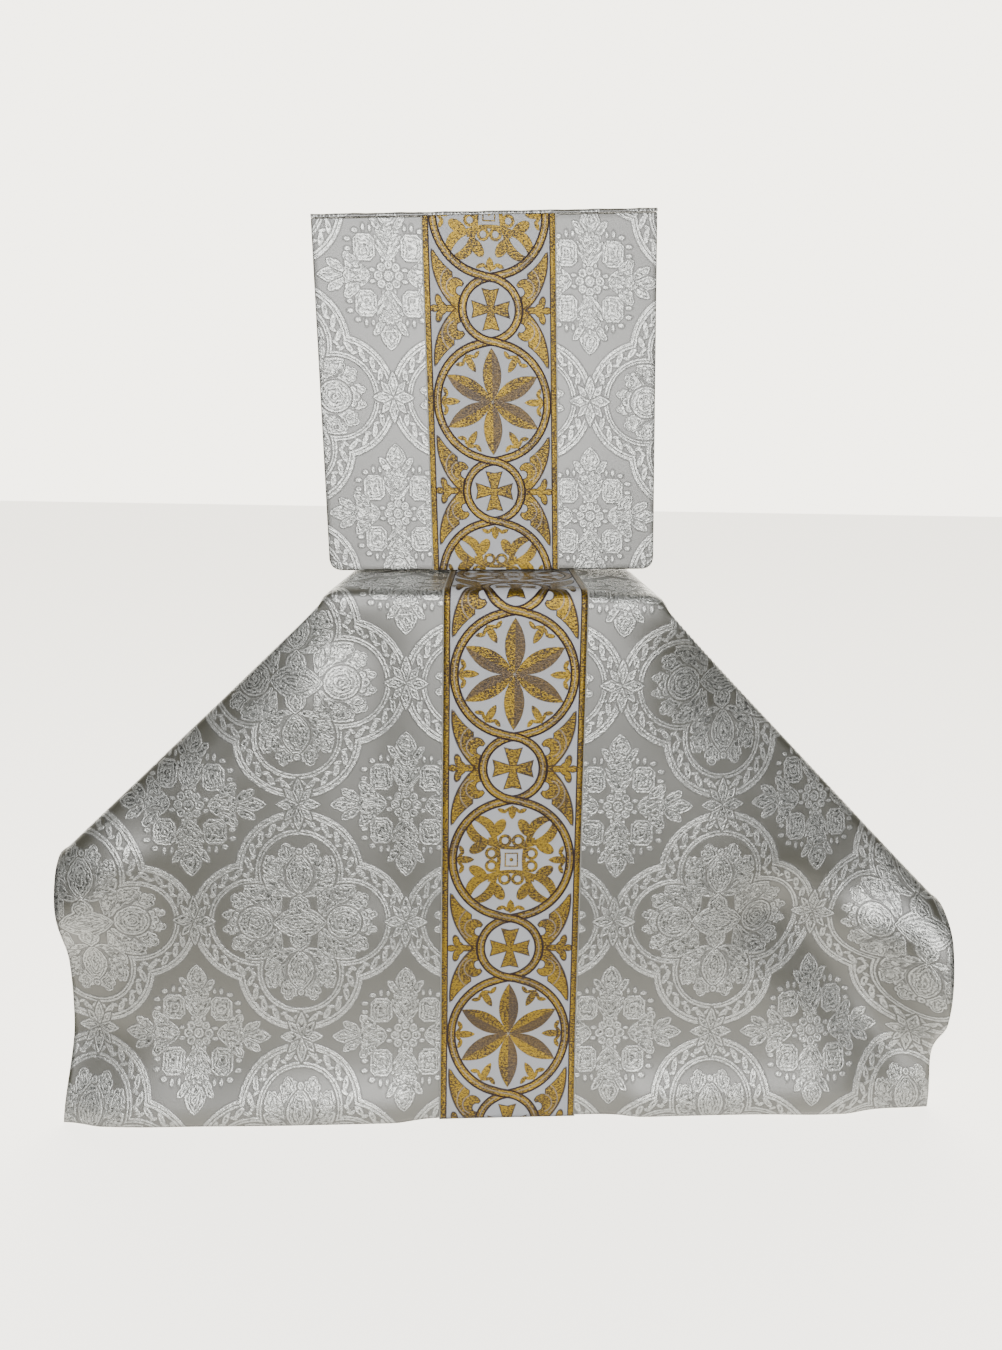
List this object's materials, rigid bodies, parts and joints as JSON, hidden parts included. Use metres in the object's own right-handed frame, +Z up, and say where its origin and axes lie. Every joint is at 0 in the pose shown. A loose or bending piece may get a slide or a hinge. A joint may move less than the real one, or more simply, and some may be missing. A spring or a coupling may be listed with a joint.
{
  "type": "chalice veil and burse on a stand",
  "caption": "Square damask chalice veil draped over a board on a turned stand, its front hanging to the table, with a matching stiff burse standing on top.",
  "frame": {"origin": "centre of the underside of the stand's round foot", "axes": "+Z up, -Y towards the viewer, out of the veil's front, +X to the viewer's right"},
  "size_m": [0.5769, 0.2786, 0.5918],
  "materials": {
    "damask": "white and silver jacquard damask with a satin sheen",
    "orphrey": "woven galloon with metallic gold thread",
    "board": "plain sanded plywood",
    "stand": "turned and varnished beech"
  },
  "bodies": {
    "root": {"veil_cloth": "damask", "veil_band": "orphrey", "burse_front": "damask", "burse_back": "damask", "burse_spine": "damask", "burse_band": "orphrey", "board": "board", "stand": "stand"}
  },
  "joints": []
}
